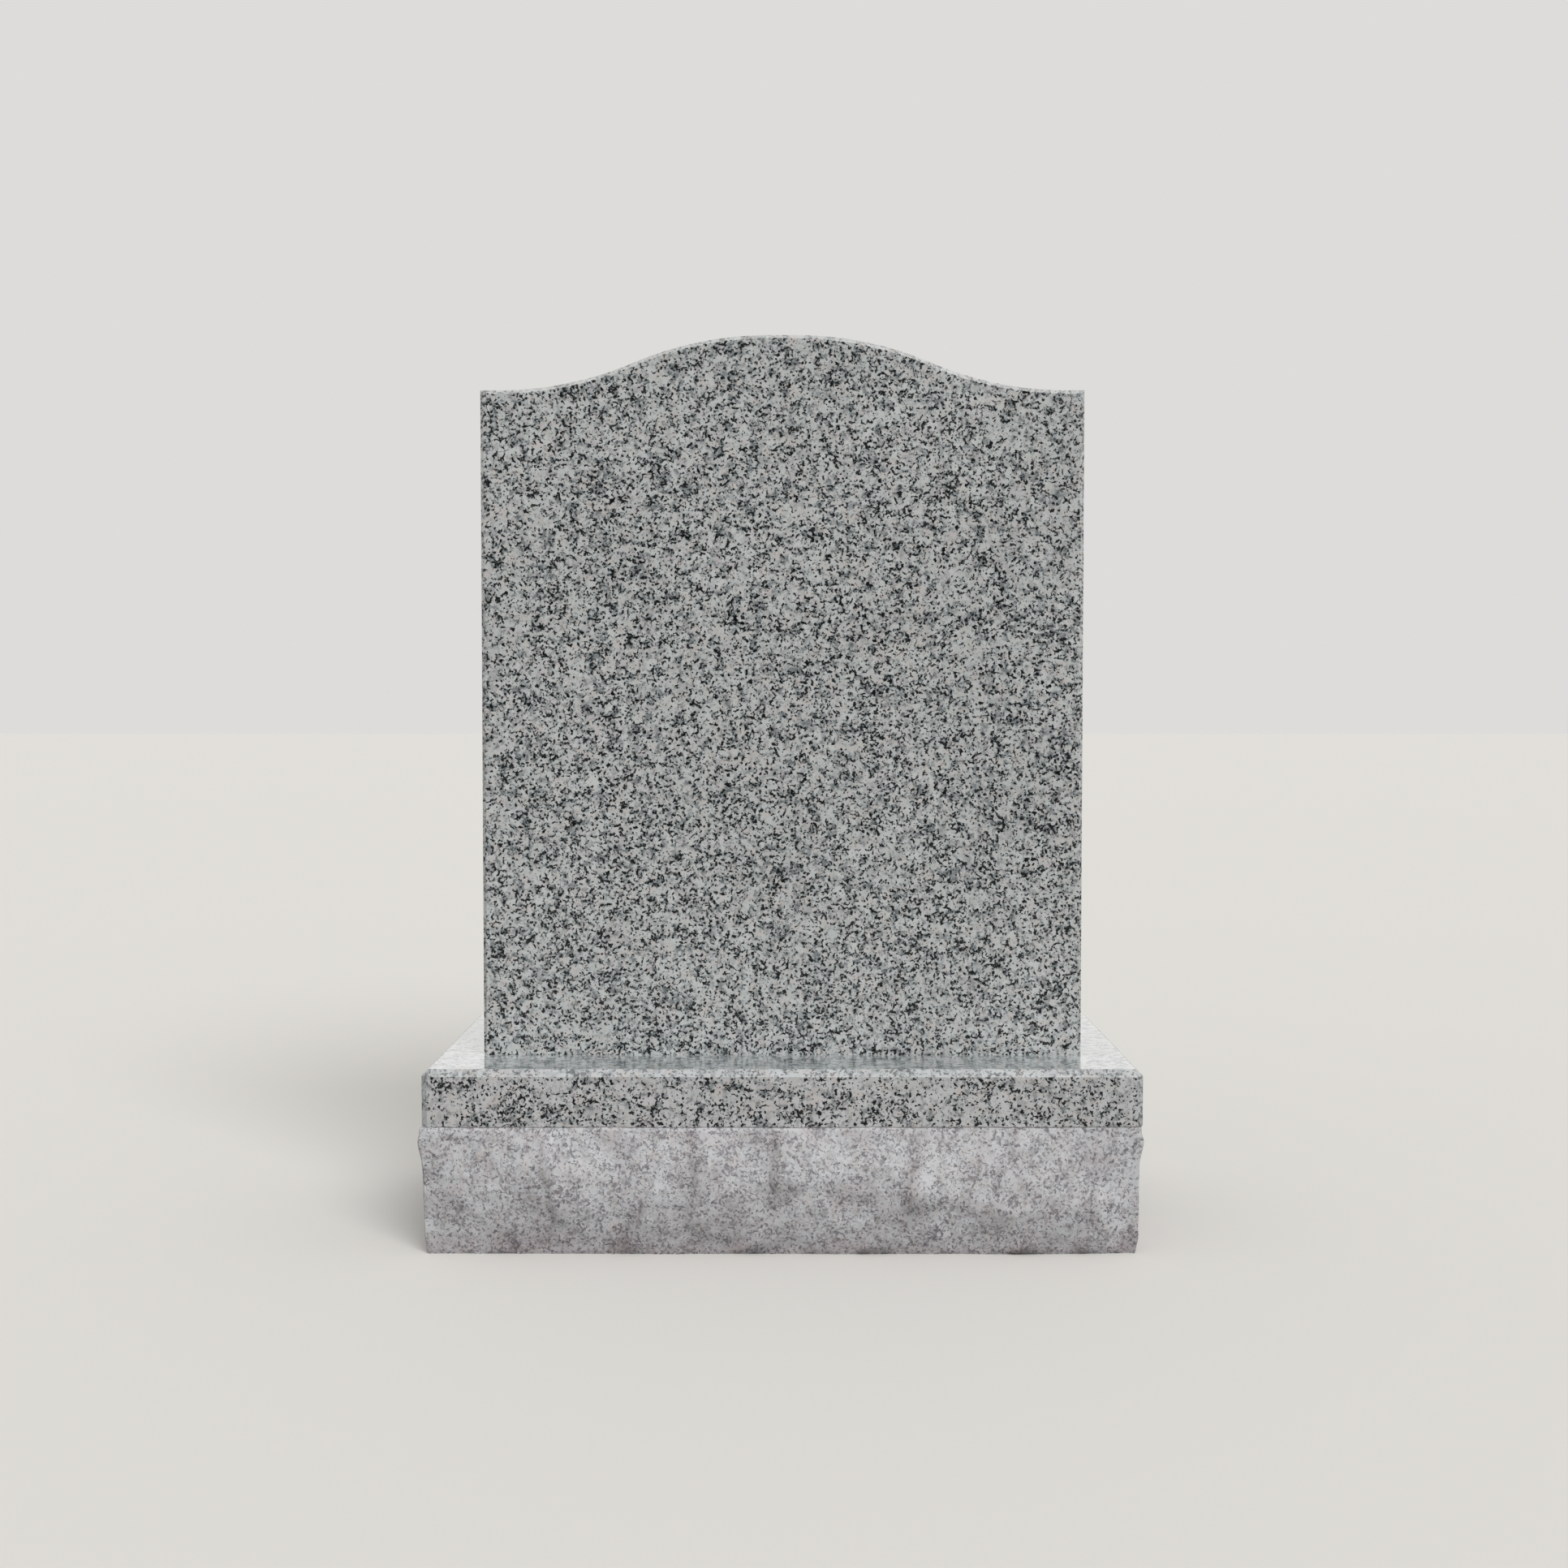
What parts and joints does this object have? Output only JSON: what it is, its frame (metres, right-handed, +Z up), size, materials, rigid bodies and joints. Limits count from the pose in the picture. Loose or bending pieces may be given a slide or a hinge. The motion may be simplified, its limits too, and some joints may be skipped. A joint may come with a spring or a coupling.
{
  "type": "headstone",
  "caption": "Upright granite headstone: a polished tablet with a serpentine top and chamfered edges on a base with a polished margin and rock-pitched sides; both faces are blank.",
  "frame": {"origin": "middle of the base's underside, on the ground", "axes": "+Z up; the front of the stone faces -Y; +X is to the viewer's right when facing the front"},
  "size_m": [0.6245, 0.3235, 0.7725],
  "materials": {
    "base_granite": "matte",
    "polished_granite": "polished"
  },
  "bodies": {
    "root": {"base": "base_granite", "tablet": "polished_granite"}
  },
  "joints": []
}
